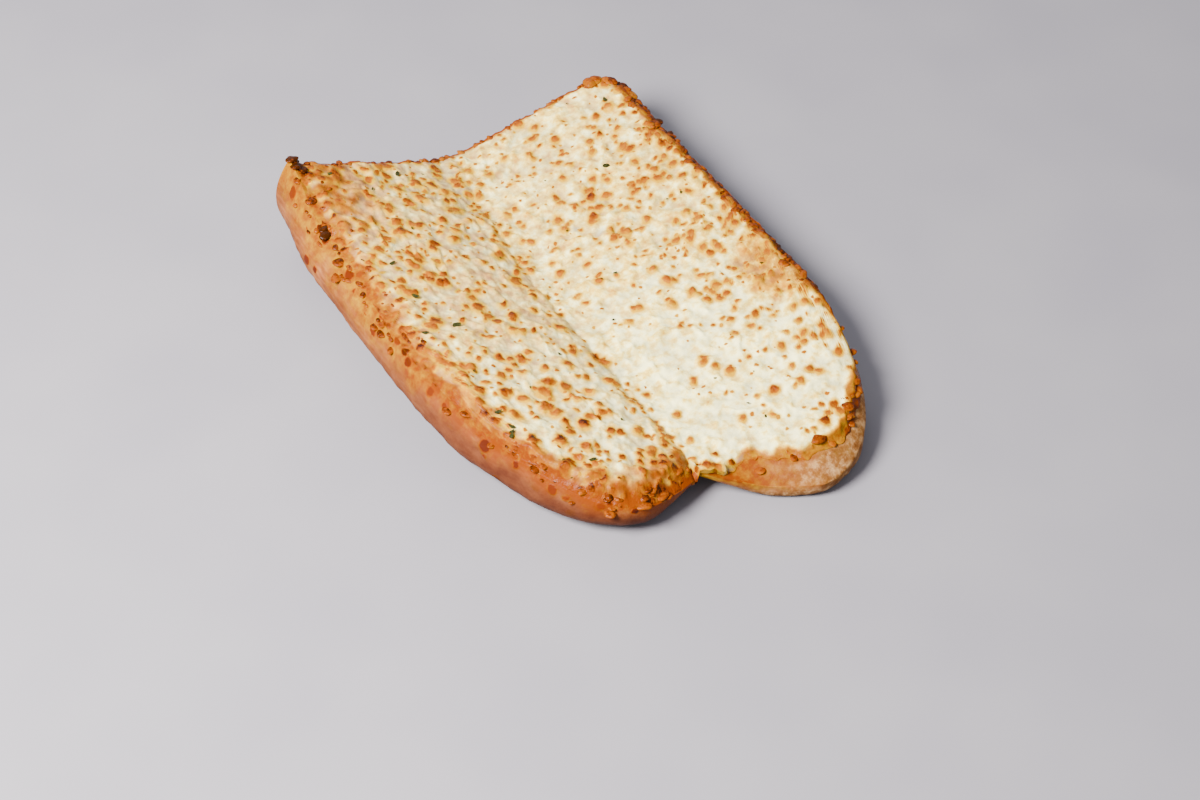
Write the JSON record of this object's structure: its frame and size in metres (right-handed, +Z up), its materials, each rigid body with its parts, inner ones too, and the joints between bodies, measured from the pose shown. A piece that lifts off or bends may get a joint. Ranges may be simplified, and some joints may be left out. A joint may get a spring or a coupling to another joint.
{
  "type": "cheesy garlic bread",
  "caption": "Piece of a crusty loaf, split lengthwise and opened flat on its hinge, topped with melted, browned cheese; rounded at one end and cut square at the other.",
  "frame": {"origin": "middle of the footprint, on the table under the crust", "axes": "+Z up; +Y along the loaf, from its rounded end to the square cut; +X across, from the domed half to the flat base half"},
  "size_m": [0.1632, 0.2254, 0.0437],
  "materials": {
    "bread": "baked crust, matt, golden brown to pale tan",
    "cheese": "melted cheese, slightly oily, ivory with browned blisters"
  },
  "bodies": {
    "root": {"bread": "bread", "cheese": "cheese"}
  },
  "joints": []
}
